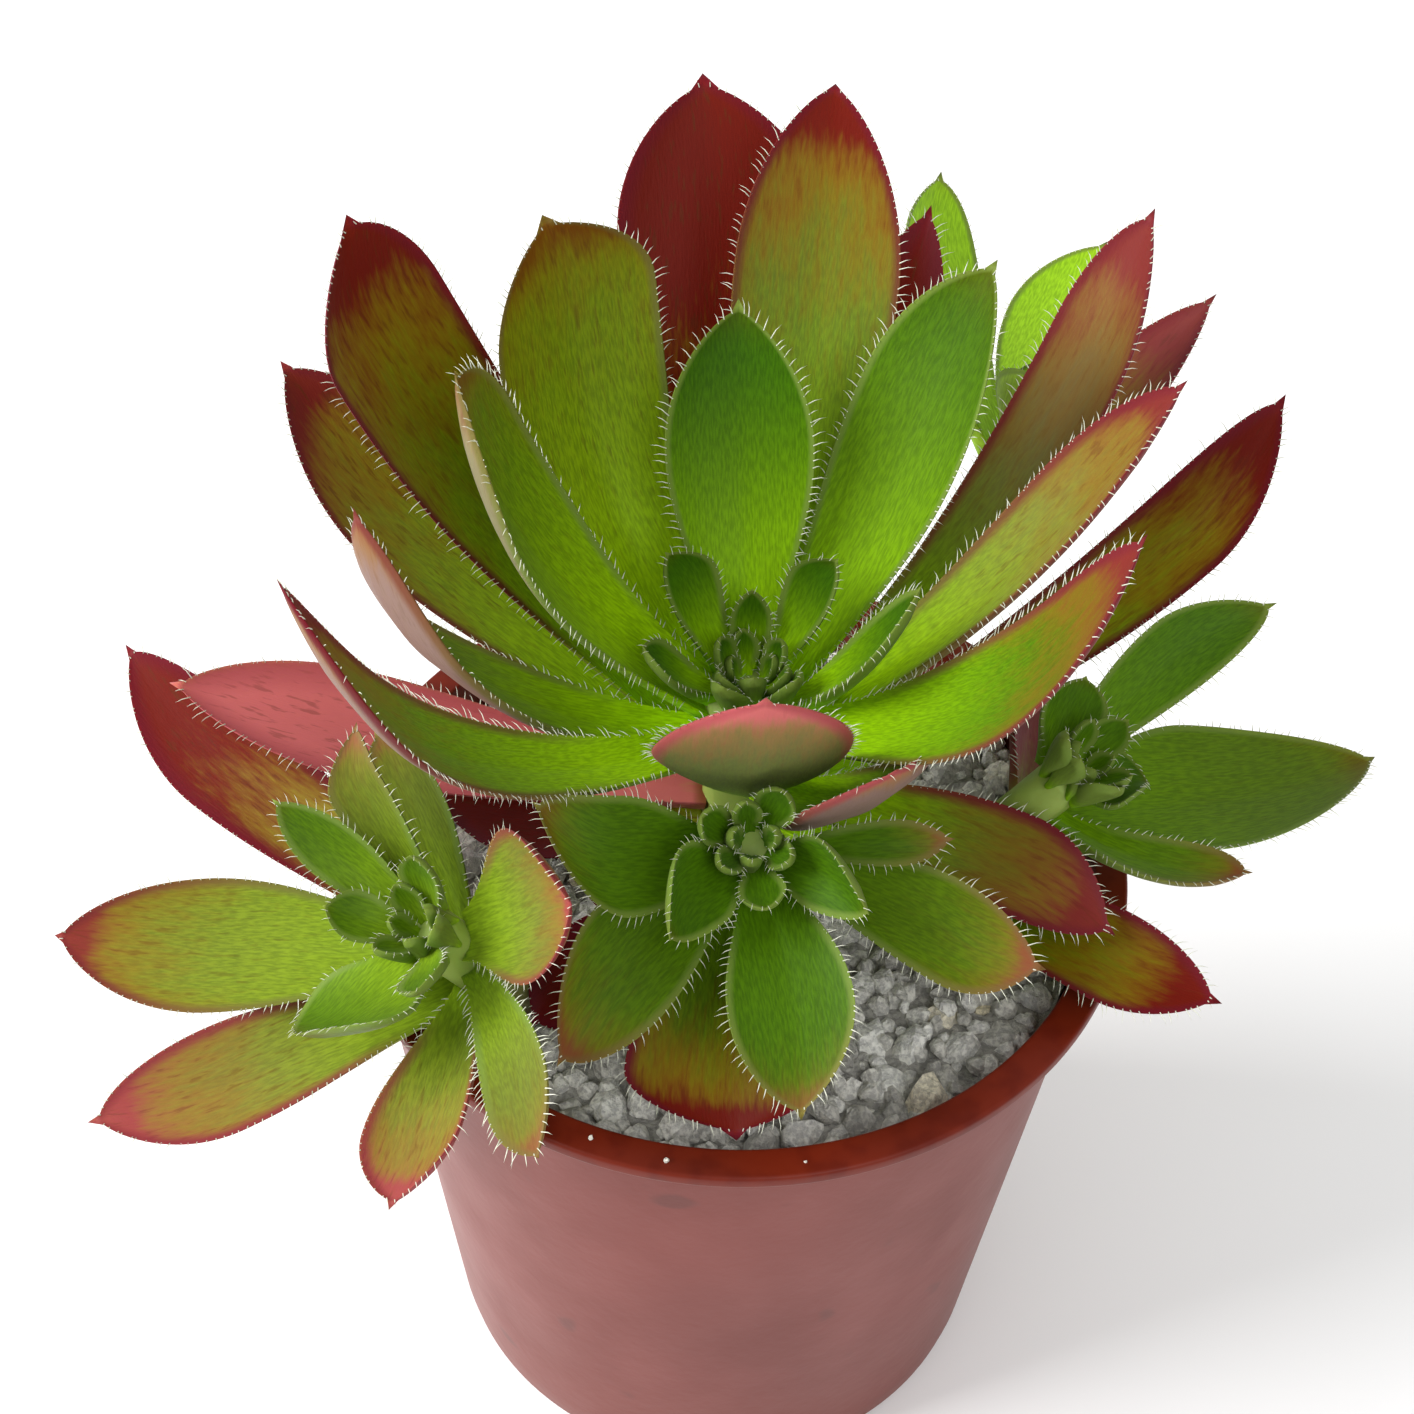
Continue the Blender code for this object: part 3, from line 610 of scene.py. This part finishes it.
def leaf_skin(leaf, start_out, start_down):
    """A leaf's rings, tip and base, in its rosette's frame, and where each point lies on the leaf.

    Across the leaf, v runs from -1 to 1 and back: the upper face is a shallow cup with a groove
    down the middle, and the lower face lies below it by the flesh, thickest at the base. The
    rings stand closer together towards the tip, which ends in a short spur.
    """
    length, width, cup = leaf[3] * MM, leaf[4] * MM, np.radians(leaf[7])
    t = 1 - (1 - np.linspace(0, 1, ALONG + 1)[:-1]) ** 1.3
    t = t[:, None, None]
    turn = (np.arange(AROUND) * math.tau / AROUND)[None, :, None]
    v, lower = np.cos(turn), np.sin(turn) < -1e-9
    midline, across, face = leaf_frame(leaf, start_out, start_down, t)
    half = width / 2 * half_width(t, leaf[8])
    bowl = half / np.sin(cup)
    groove = -GROOVE_DEPTH * half * np.exp(-((v / GROOVE_WIDTH) ** 2)) * np.clip(1.3 - t, 0, 1)
    ripple = RIPPLE * half * np.sin(9 * t + 2 * leaf[0]) * v**3
    height = bowl * (1 - np.cos(cup * v)) + groove + ripple
    flesh = BLADE_THICKNESS + (BASE_THICKNESS - BLADE_THICKNESS) * (1 - t) ** 1.5
    flesh = flesh * (1 - v**4) ** 0.5 * np.sqrt(np.clip((1 - t) / TIP_TAPER, 0, 1))
    points = midline + bowl * np.sin(cup * v) * across + (height - flesh * lower) * face
    base, last, tip = leaf_frame(leaf, start_out, start_down, np.array([0.0, 0.97, 1.0])[:, None])[0]
    spur = (tip - last) / np.linalg.norm(tip - last) * TIP_SPUR * min(1.0, leaf[3] / 25)
    where = {
        "across": v * half / MM + 0 * t,
        "along": t + 0 * v,
        "reach": t * length / MM + 0 * v,
        "edge": (1 - np.abs(v)) * half / MM + 0 * t,
        "under": np.where(lower, 1.0, 0.0) + 0 * t,
    }
    ends = {
        "across": (0, 0), "along": (0, 1), "reach": (0, length / MM), "edge": (0, 0), "under": (0.5, 0.5),
    }
    where = {key: np.append(value.ravel(), ends[key]) for key, value in where.items()}
    return points, base - [0, 0, BASE_THICKNESS / 2], tip + spur, where


def hairs(leaf, start_out, start_down, axes, heart):
    """Rows of stiff hairs on both margins: four-sided cones that lean out and towards the tip.

    They sit evenly along the margin's own length, with small random changes of place,
    length and lean.
    """
    width, cup = leaf[4] * MM, np.radians(leaf[7])
    grid = np.linspace(0.06, 0.998, 400)[:, None]
    roots, leans = [], []
    for edge in (-1, 1):
        midline, across, face = leaf_frame(leaf, start_out, start_down, grid)
        half = width / 2 * half_width(grid, leaf[8])
        margin = midline + edge * half * across + half * np.tan(cup / 2) * face
        along = np.gradient(margin, axis=0)
        step = np.linalg.norm(along, axis=1)
        travelled = np.cumsum(step)
        count = max(int(travelled[-1] / HAIR_EVERY), 6)
        at = (np.arange(count) + hair_draw.uniform(-0.3, 0.3, count) + 0.5) * travelled[-1] / count
        pick = np.clip(np.searchsorted(travelled, at), 0, len(grid) - 1)
        forward = along[pick] / step[pick][:, None]
        outward = edge * across[pick]
        outward = outward - forward * (outward * forward).sum(axis=1, keepdims=True)
        outward /= np.linalg.norm(outward, axis=1, keepdims=True)
        lean = outward + forward * hair_draw.uniform(0.1, 0.7, (count, 1))
        lean = lean + face[pick] * hair_draw.uniform(-0.35, 0.45, (count, 1))
        roots.append(margin[pick] - HAIR_SINK * outward)
        leans.append(lean / np.linalg.norm(lean, axis=1, keepdims=True))
    root, lean = np.concatenate(roots), np.concatenate(leans)
    root, lean = root @ axes.T + heart, lean @ axes.T
    count = len(root)
    size = min(1.0, 0.45 + leaf[3] / 40)
    length = HAIR_LENGTH * size * hair_draw.uniform(0.6, 1.25, (count, 1))
    first = np.cross(lean, [0.3, 0.5, 0.81])
    first /= np.linalg.norm(first, axis=1, keepdims=True)
    second = np.cross(lean, first)
    turn = np.arange(4) * math.tau / 4
    ring = first[:, None] * np.cos(turn)[:, None] + second[:, None] * np.sin(turn)[:, None]
    droop = 0.12 * length * second
    middle = root + 0.55 * length * lean
    rings = np.stack([
        root[:, None] + HAIR_RADIUS * size * ring,
        middle[:, None] + 0.6 * HAIR_RADIUS * size * ring,
    ], axis=1)
    return skins(rings, root, root + length * lean + droop)


def leaf_parts(leaves, name):
    """Skins and point attributes of one rosette's leaves, rows of (leaf, colour, out, down)."""
    axes, heart = rosette_axes(ROSETTES[name]), heart_of(name)
    rings, bases, tips, tufts, values = [], [], [], [], {}
    for leaf, colour, start_out, start_down in leaves:
        points, base, tip, where = leaf_skin(leaf, start_out, start_down)
        rings.append(points)
        bases.append(base)
        tips.append(tip)
        count = len(where["along"])
        where.update({key: np.full(count, value) for key, value in zip(LEAF_TRAITS, colour)})
        for key, value in where.items():
            values.setdefault(key, []).append(value)
        tufts.append(hairs(leaf, start_out, start_down, axes, heart))
    blades = skins(
        np.array(rings) @ axes.T + heart, np.array(bases) @ axes.T + heart, np.array(tips) @ axes.T + heart
    )
    return blades, joined(tufts), {key: np.concatenate(value) for key, value in values.items()}


def joined(skinned):
    """Several (points, quads, triangles) skins as one."""
    shifts = np.cumsum([0] + [len(points) for points, _, _ in skinned[:-1]])
    return (
        np.concatenate([points for points, _, _ in skinned]),
        np.concatenate([quads + shift for (_, quads, _), shift in zip(skinned, shifts)]),
        np.concatenate([fans + shift for (_, _, fans), shift in zip(skinned, shifts)]),
    )


def leaf_object(label, name, leaves, materials, more=()):
    """One object of leaf blades, their hairs and any more skins; the blades and hairs are kept inside the
    whole model's box.
    """
    blades, tufts, values = leaf_parts(leaves, name)
    blades, tufts = ((np.clip(skin[0], cad_low, cad_high), *skin[1:]) for skin in (blades, tufts))
    made = mesh_object(label, [blades, tufts, *more], materials)
    total = len(made.data.vertices)
    for key, value in values.items():
        padded = np.zeros(total)
        padded[: len(value)] = value
        made.data.attributes.new("leaf_" + key, "FLOAT", "POINT").data.foreach_set("value", padded)
    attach(made, "root")
    return made


def leaf_colour_group():
    """The colour of a leaf's skin, from where a point lies on the leaf and how old the leaf is, with painted
    light glowing through its base.
    """
    group = bpy.data.node_groups.new("leaf_colour", "ShaderNodeTree")
    for key in LEAF_COLOURS:
        group.interface.new_socket(key, in_out="INPUT", socket_type="NodeSocketColor")
    for key in LEAF_PLACES:
        group.interface.new_socket(key, in_out="INPUT", socket_type="NodeSocketFloat")
    group.interface.new_socket("Colour", in_out="OUTPUT", socket_type="NodeSocketColor")
    group.interface.new_socket("Height", in_out="OUTPUT", socket_type="NodeSocketFloat")
    given = group.nodes.new("NodeGroupInput").outputs
    result = group.nodes.new("NodeGroupOutput").inputs

    def times(*values):
        product = values[0]
        for value in values[1:]:
            product = maths(group, "MULTIPLY", product, value)
        return product

    def plus(*values):
        total = values[0]
        for value in values[1:]:
            total = maths(group, "ADD", total, value)
        return total

    along, under, edge = given["Along"], given["Under"], given["Edge"]
    age, flush, bloom = given["Age"], given["Flush"], given["Bloom"]
    far = maths(group, "SUBTRACT", 1.0, along)
    ribs = node(group, "ShaderNodeCombineXYZ", times(given["Across"], 2.4), times(given["Reach"], 0.4), age)
    spread = node(group, "ShaderNodeCombineXYZ", given["Across"], times(given["Reach"], 0.5), flush)
    cloud = noise(group, spread.outputs[0], 0.28, 3.0)
    dash = noise(group, ribs.outputs[0], 1.1, 2.0, 0.6)
    line = noise(group, ribs.outputs[0], 2.6, 3.0)
    green = mixed(group, age, given["Fresh"], given["Olive"])
    # Painted light: towards its base each leaf turns to the bright Base colour, a painted glow of light
    # shining through the flesh.
    green = mixed(group, maths(group, "POWER", far, 2.2), green, given["Base"])
    ribbed = mixed(group, between(group, line, 0.3, 0.7), (0.78, 0.80, 0.80), (1.22, 1.2, 1.2))
    green = mixed(group, 1.0, green, ribbed, "MULTIPLY")
    # The cast of an old face, and the purple, bloomed lower side.
    tan = times(given["Dusk"], between(group, along, 0.2, 0.7))
    green = mixed(group, times(tan, 0.7), green, (0.20, 0.11, 0.06))
    pale = times(under, between(group, along, 0.0, 0.35), 0.35)
    green = mixed(group, pale, green, (0.20, 0.22, 0.06))
    purple = times(under, bloom, between(group, along, 0.12, 0.5))
    green = mixed(group, times(purple, 0.9), green, given["Below"])
    # The flush: bronze, then red towards the tip, further down along the margins.
    red = mixed(group, given["Blush"], given["Flush Red"], (0.62, 0.15, 0.15))
    rim_pull = maths(group, "DIVIDE", 0.22, plus(edge, 0.65))
    clouded = times(maths(group, "SUBTRACT", cloud, 0.5), 0.5)
    streaked = times(maths(group, "SUBTRACT", dash, 0.5), 0.4)
    reached = maths(group, "SUBTRACT", flush, far)
    point = between(group, along, 0.86, 1.0)
    seen = plus(reached, rim_pull, clouded, streaked, times(point, 0.3), times(under, bloom, -0.4))
    ripe = between(group, plus(times(flush, 2.6), times(along, 0.5)), 0.45, 1.0)
    bronze = mixed(group, given["Blush"], given["Bronze"], (0.34, 0.17, 0.07))
    colour = mixed(group, times(between(group, seen, -0.25, 0.2), ripe, 0.7), green, bronze)
    colour = mixed(group, times(between(group, seen, 0.05, 0.45), ripe), colour, red)
    # Fine dark dashes along old leaves.
    dashes = times(between(group, dash, 0.56, 0.68), age, between(group, along, 0.1, 0.5), 0.35)
    colour = mixed(group, dashes, colour, (0.06, 0.022, 0.002))
    # The margin: a thin pale line on a fresh leaf, a crimson band on an old one.
    band = node(group, "ShaderNodeMapRange", edge, 0.3, plus(times(flush, 1.6), 0.6), 1.0, 0.0)
    margin = mixed(group, given["Blush"], given["Margin Red"], (0.42, 0.08, 0.09))
    margin = mixed(group, ripe, (0.13, 0.20, 0.03), margin)
    colour = mixed(group, times(band.outputs[0], between(group, along, 0.15, 0.4), 0.9), colour, margin)
    group.links.new(colour, result["Colour"])
    group.links.new(plus(line, times(cloud, 1.5)), result["Height"])
    return group


LEAF_COLOURS = ("Fresh", "Olive", "Base", "Bronze", "Flush Red", "Margin Red", "Below")
LEAF_PLACES = ("Across", "Along", "Reach", "Edge", "Under", "Age", "Flush", "Dusk", "Bloom", "Blush")
leaf_colour = leaf_colour_group()


def leaf_finish(name, colours, glow=0.08):
    """A rosette's fleshy, slightly glowing skin, in its own greens and reds."""
    made, shader = new_material(name, 0.5, sheen_weight=0.02, subsurface_weight=glow)
    shader.inputs["Specular IOR Level"].default_value = 0.10
    shader.inputs["Subsurface Radius"].default_value = (1.0, 1.0, 0.2)
    shader.inputs["Subsurface Scale"].default_value = 1.2 * MM
    tree = made.node_tree
    group = tree.nodes.new("ShaderNodeGroup")
    group.node_tree = leaf_colour
    for key, value in colours.items():
        group.inputs[key].default_value = (*value, 1)
    for key in LEAF_PLACES:
        read = node(tree, "ShaderNodeAttribute", attribute_name="leaf_" + key.lower())
        tree.links.new(read.outputs["Fac"], group.inputs[key])
    tree.links.new(group.outputs["Colour"], shader.inputs["Base Color"])
    bumped(tree, shader, group.outputs["Height"], 0.25, 0.12 * MM)
    return made


def hair_finish():
    """Pale, slightly yellow hairs."""
    made, shader = new_material("hair", 0.5)
    tree = made.node_tree
    place = tree.nodes.new("ShaderNodeTexCoord").outputs["Object"]
    tint = mixed(tree, noise(tree, place, 300.0), (0.50, 0.55, 0.38), (0.78, 0.76, 0.68))
    tree.links.new(tint, shader.inputs["Base Color"])
    return made


# Base is painted light: the bright yellow-green glow of light through the base of each leaf, set again for
# each rosette below.
RED_GREEN = {
    "Fresh": (0.026, 0.088, 0.0),
    "Olive": (0.125, 0.175, 0.0),
    "Base": (0.36, 0.68, 0.0),
    "Bronze": (0.20, 0.085, 0.0),
    "Flush Red": (0.115, 0.004, 0.0),
    "Margin Red": (0.105, 0.003, 0.010),
    "Below": (0.20, 0.115, 0.105),
}
FINISHES = {
    "main": ("leaf_red_green", RED_GREEN),
    "front": ("leaf_green", {**RED_GREEN, "Fresh": (0.040, 0.106, 0.0), "Base": (0.07, 0.18, 0.0)}),
    "left": ("leaf_silvery", {
        **RED_GREEN, "Fresh": (0.052, 0.118, 0.0), "Olive": (0.145, 0.185, 0.01), "Base": (0.22, 0.36, 0.01),
    }),
    "right": ("leaf_green", {**RED_GREEN, "Fresh": (0.046, 0.118, 0.0), "Base": (0.14, 0.30, 0.0)}),
    "back": ("leaf_young", {**RED_GREEN, "Fresh": (0.24, 0.46, 0.01), "Base": (0.36, 0.62, 0.03)}),
}
hair = hair_finish()
skin_finish = {
    name: leaf_finish(f"{name}_{slot}", colours) for name, (slot, colours) in FINISHES.items()
}
for name, rosette in ROSETTES.items():
    for i, (leaf, colour) in enumerate(LEAVES[name]):
        start_out = rosette["stem"] * MM + LEAF_GAP - ROOT_REACH
        grown = [(leaf, colour, start_out, node_depth(rosette, i))]
        label = f"{name}_leaf_{i + 1:02d}"
        piece = leaf_object(label + "_blade", name, grown, [skin_finish[name], hair])
        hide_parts(label)

# ---------------------------------------------------------------- stems and hearts
# Each rosette stands on a short fleshy stem rooted in the grit. Its tip is a heart of small
# unopened leaves that have grown out of it, with the same tiny ones in the middle of each.

STEM_SIDES = 24
STEM_STEPS = 14
STEM_DEPTH = 1.5 * MM
STEM_TIP = 0.9 * MM
BUD_SINK = 0.9 * MM
BUD_CROWDING = 0.25
BUD_NODE = 1.0 * MM
BUD_COLOUR = (0, 0.02, 0, 0, 0)

# The leaves of the hearts, shaped by the same ten values as the open leaves.
TINY_LEAVES = (
    (-25, 64, 10, 4.4, 2.5, 0, 0, 30, 0.6, 0),
    (-140, 64, 10, 4.4, 2.5, 0, 0, 30, 0.6, 0),
    (105, 66, 10, 4.2, 2.4, 0, 0, 30, 0.6, 0),
    (20, 76, 5, 3.4, 1.9, 0, 0, 30, 0.6, 0),
    (165, 76, 5, 3.2, 1.9, 0, 0, 30, 0.6, 0),
    (-95, 78, 5, 3.0, 1.8, 0, 0, 30, 0.6, 0),
)
HEARTS = {
    "main": (
        (137, 60, 20, 11.5, 5.0, 0, 0, 30, 0.7, 0.4),
        (47, 60, 20, 11.0, 4.5, 0, 0, 35, 0.7, -0.4),
        (92, 68, 15, 7.0, 3.4, 0, 0, 30, 0.6, 0),
        (194, 50, 25, 9.5, 4.0, 0, 0, 35, 0.66, 0),
        (-40, 60, 20, 6.0, 3.2, 0, 0, 30, 0.66, 0),
        (-118, 60, 20, 6.0, 3.2, 0, 0, 30, 0.66, 0),
        (155, 72, 10, 4.8, 2.6, 0, 0, 30, 0.66, 0),
        (30, 72, 10, 4.6, 2.5, 0, 0, 30, 0.66, 0),
        (-85, 76, 10, 3.8, 2.2, 0, 0, 30, 0.66, 0),
    ),
    "front": (
        (-78, 45, 10, 5.5, 3.6, 0, 0, 25, 0.66, 0),
        (160, 55, 20, 5.0, 3.2, 0, 0, 30, 0.66, 0),
        (60, 60, 20, 5.5, 3.4, 0, 0, 30, 0.66, 0),
    ),
    "left": (
        (165, 48, 15, 7.0, 4.0, 0, 0, 25, 0.66, 0),
        (70, 60, 20, 6.0, 3.4, 0, 0, 30, 0.66, 0),
        (-70, 45, 10, 8.5, 4.0, 0, 0, 25, 0.66, 0),
    ),
    "right": (
        (-70, 60, 20, 5.0, 3.2, 0, 0, 30, 0.66, 0),
        (60, 62, 20, 5.5, 3.2, 0, 0, 30, 0.66, 0),
        (190, 58, 20, 5.0, 3.0, 0, 0, 30, 0.66, 0),
    ),
    "back": (
        (100, 60, 20, 5.5, 3.4, 0, 0, 30, 0.66, 0),
        (-60, 60, 20, 5.0, 3.2, 0, 0, 30, 0.66, 0),
    ),
}


def stem_skin(name):
    """A round stem: a cubic curve up from the grit, then straight through its leaves to its tip.

    A point of the curve is a sum of four handles, each with its share (1-u)^3, 3u(1-u)^2,
    3u^2(1-u) or u^3. Five faint ridges wind up the stem.
    """
    rosette = ROSETTES[name]
    radius = rosette["stem"] * MM
    axis = rosette_axes(rosette)[:, 2]
    low, heart = crown_of(rosette), heart_of(name)
    root = np.array([rosette["root"][0] * MM, rosette["root"][1] * MM, GRIT_TOP - STEM_DEPTH])
    pull = 0.4 * np.linalg.norm(low - root)
    handles = np.array([root, root + [0, 0, pull], low - axis * pull, low])
    u = np.linspace(0, 1, STEM_STEPS)[:, None]
    weights = np.hstack([(1 - u) ** 3, 3 * u * (1 - u) ** 2, 3 * u * u * (1 - u), u**3])
    slopes = np.hstack([-3 * (1 - u) ** 2, 3 * (1 - u) * (1 - 3 * u), 3 * u * (2 - 3 * u), 3 * u * u])
    below = np.array([FIRST_NODE, 1.35 * MM, 1.1 * MM, 0.95 * MM])[:, None]
    centres = np.vstack([weights @ handles, heart - axis * below])
    along = np.vstack([slopes @ handles, np.repeat(axis[None], len(below), axis=0)])
    along /= np.linalg.norm(along, axis=1, keepdims=True)
    radii = radius * np.concatenate([np.ones(STEM_STEPS), [1.0, 0.9, 0.7, 0.4]])[:, None, None]
    first = np.cross(along, [1.0, 0, 0])
    first /= np.linalg.norm(first, axis=1, keepdims=True)
    second = np.cross(along, first)
    turn = (np.arange(STEM_SIDES) * math.tau / STEM_SIDES)[:, None]
    knobs = 1 + 0.05 * np.sin(5 * turn + 3 * np.arange(len(centres))[:, None, None])
    spokes = first[:, None] * np.cos(turn) + second[:, None] * np.sin(turn)
    rings = centres[:, None] + radii * knobs * spokes
    return skins(rings[None], root[None], (heart - axis * STEM_TIP)[None])


def stem_finish():
    """Brown, scarred bark near the grit, turning to green flesh above."""
    made, shader = new_material("stem", 0.6, subsurface_weight=0.1)
    shader.inputs["Subsurface Scale"].default_value = 1.0 * MM
    tree = made.node_tree
    place = tree.nodes.new("ShaderNodeTexCoord").outputs["Object"]
    height = node(tree, "ShaderNodeSeparateXYZ", place).outputs[2]
    up = between(tree, height, GRIT_TOP, GRIT_TOP + 9 * MM)
    scars = between(tree, noise(tree, place, 500.0, 3.0), 0.45, 0.65)
    bark = mixed(tree, scars, (0.16, 0.12, 0.05), (0.24, 0.22, 0.10))
    tree.links.new(mixed(tree, up, bark, (0.26, 0.36, 0.06)), shader.inputs["Base Color"])
    bumped(tree, shader, noise(tree, place, 700.0, 3.0), 0.4, 0.3 * MM)
    return made


stem = stem_finish()
for name, rosette in ROSETTES.items():
    deepest = rosette["stem"] * MM - BUD_SINK
    buds = [
        (leaf, BUD_COLOUR, min(deepest, BUD_CROWDING * leaf[3] * MM), BUD_NODE)
        for leaf in HEARTS[name] + TINY_LEAVES
    ]
    piece = leaf_object(
        f"{name}_stem_and_heart", name, buds, [skin_finish[name], hair, stem], more=[stem_skin(name)]
    )
    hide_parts(f"{name}_stem")

# ---------------------------------------------------------------- floor, light and camera
# A plain pale floor, a large soft light from the left, and a weak one from the front right.

FLOOR_REACH = 3.0
corners = ((-1, -1), (1, -1), (1, 1), (-1, 1))
floor_mesh = bpy.data.meshes.new("floor")
floor_mesh.from_pydata([(FLOOR_REACH * x, FLOOR_REACH * y, 0) for x, y in corners], [], [(0, 1, 2, 3)])
floor = bpy.data.objects.new("floor", floor_mesh)
bpy.context.scene.collection.objects.link(floor)
floor_mesh.materials.append(new_material("floor", 0.9, base_color=(0.93, 0.93, 0.93, 1))[0])


def soft_light(name, place, aim, size, watts):
    """A square area light, turned to face a point."""
    data = bpy.data.lights.new(name, "AREA")
    data.size = size
    data.energy = watts
    made = bpy.data.objects.new(name, data)
    made.location = place
    x, y, z = np.array(place) - np.array(aim)
    made.rotation_euler = (math.atan2(math.hypot(x, y), z), 0, math.atan2(x, -y))
    bpy.context.scene.collection.objects.link(made)


plant_middle = (0.0, 0.0, 0.08)
soft_light("window", (-0.55, -0.10, 0.45), plant_middle, 0.45, 7.5)
soft_light("fill", (0.25, -0.50, 0.50), plant_middle, 0.4, 1.6)
world = bpy.data.worlds.new("studio")
world.use_nodes = True
world.node_tree.nodes["Background"].inputs["Color"].default_value = (1, 1, 1, 1)
world.node_tree.nodes["Background"].inputs["Strength"].default_value = 0.7
bpy.context.scene.world = world
bpy.context.scene.view_settings.view_transform = "Standard"

CAMERA_AIM = np.array([-2.6, 0.0, 74.5]) * MM
CAMERA_DISTANCE = 205.8 * MM
CAMERA_ELEVATION = math.radians(46.2)
CAMERA_ROLL = math.radians(2.1)
camera_data = bpy.data.cameras.new("camera")
camera_data.lens = 67.16
camera_data.sensor_width = 36.0
camera_data.clip_start = 0.01
camera = bpy.data.objects.new("camera", camera_data)
sight = np.array([0, -math.cos(CAMERA_ELEVATION), math.sin(CAMERA_ELEVATION)])
camera.location = CAMERA_AIM + CAMERA_DISTANCE * sight
tilt = Matrix.Rotation(math.pi / 2 - CAMERA_ELEVATION, 3, "X")
camera.rotation_euler = (tilt @ Matrix.Rotation(CAMERA_ROLL, 3, "Z")).to_euler()
bpy.context.scene.collection.objects.link(camera)
bpy.context.scene.camera = camera
